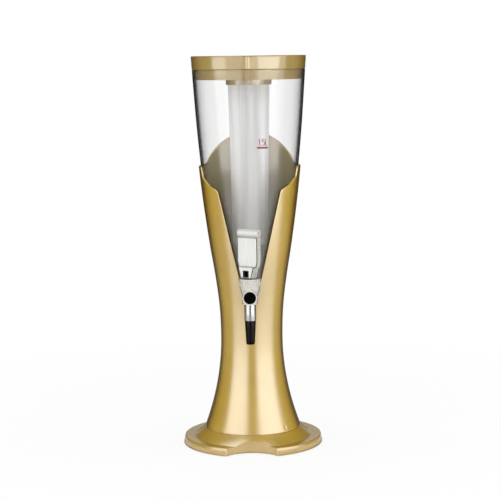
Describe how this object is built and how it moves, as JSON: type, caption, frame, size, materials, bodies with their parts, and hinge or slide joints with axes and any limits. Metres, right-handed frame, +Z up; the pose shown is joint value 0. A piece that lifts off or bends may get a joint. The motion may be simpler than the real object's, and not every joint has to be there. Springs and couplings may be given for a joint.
{
  "type": "beer tower dispenser",
  "caption": "Waisted gold tower on a dished foot, with a lift-out clear tank, a lid with an ice tube, and a swivelling spring-closed lever tap.",
  "frame": {"origin": "the tower's axis at table level, where the foot pads rest", "axes": "+Z up the tower's axis; the tap and the glass notch face -Y; +X is to the right of someone facing the tap"},
  "size_m": [0.188, 0.1901, 0.52],
  "materials": {
    "gold_paint": "satin metallic gold paint",
    "clear_plastic": "clear polished",
    "frosted_plastic": "frosted translucent",
    "silver_plating": "satin silver plating",
    "chrome": "bright plating",
    "black_plastic": "gloss",
    "pad_rubber": "matte",
    "seal_rubber": "matte",
    "silicone": "translucent matte",
    "steel": "plain"
  },
  "bodies": {
    "tower": {"foot": "gold_paint", "column": "gold_paint", "ballast_ring": "steel", "bottom_plate": "black_plastic", "foot_pads": "pad_rubber", "column_screws": "steel", "plate_screws": "steel"},
    "tank": {"tank": "clear_plastic", "tap_washer_outer": "seal_rubber", "tap_washer_inner": "seal_rubber", "tap_locknut": "clear_plastic", "valve_body": "clear_plastic", "front_plug": "black_plastic", "spout_tube": "chrome", "nozzle": "black_plastic", "stem_seal": "silicone", "bonnet": "clear_plastic", "return_spring": "steel"},
    "seat_cup": {"seat_cup": "silicone"},
    "stem": {"stem": "black_plastic", "spring_washer": "steel", "lever_pin": "steel"},
    "lever": {"lever_frame": "clear_plastic", "lever_plate": "silver_plating", "lever_roll": "silver_plating"},
    "lid": {"lid": "gold_paint"},
    "ice_tube_gasket": {"ice_tube_gasket": "silicone"},
    "ice_tube": {"ice_tube": "frosted_plastic"}
  },
  "joints": [
    {"name": "tank_lift", "type": "slide", "parent": "tower", "child": "tank", "axis": [0, 0, 1], "range_m": [0, 0.24]},
    {"name": "lid_lift", "type": "slide", "parent": "tank", "child": "lid", "axis": [0, 0, 1], "range_m": [0, 0.26]},
    {"name": "ice_tube_drop", "type": "slide", "parent": "lid", "child": "ice_tube_gasket", "axis": [0, 0, -1], "range_m": [0, 0.0045]},
    {"name": "ice_tube_unscrew", "type": "hinge", "parent": "ice_tube_gasket", "child": "ice_tube", "pos_m": [0, 0, 0.482], "axis": [0, 0, -1], "range_deg": [0, 540]},
    {"name": "stem_lift", "type": "slide", "parent": "tank", "child": "seat_cup", "axis": [0, 0, 1], "range_m": [0, 0.003], "stiffness_N_per_m": 900, "springref_m": -0.003, "deforming": ["return_spring"]},
    {"name": "lever_swivel", "type": "hinge", "parent": "seat_cup", "child": "stem", "pos_m": [0, -0.0815, 0.225], "axis": [0, 0, 1], "range_deg": [-58, 122]},
    {"name": "lever_pull", "type": "hinge", "parent": "stem", "child": "lever", "pos_m": [0, -0.0815, 0.2414], "axis": [0.848, -0.5299, 0], "range_deg": [0, 30]}
  ],
  "couplings": [
    {"joint": "stem_lift", "follows": "lever_pull", "m_per_rad": 0.005729},
    {"joint": "ice_tube_drop", "follows": "ice_tube_unscrew", "m_per_rad": 0.000477}
  ]
}
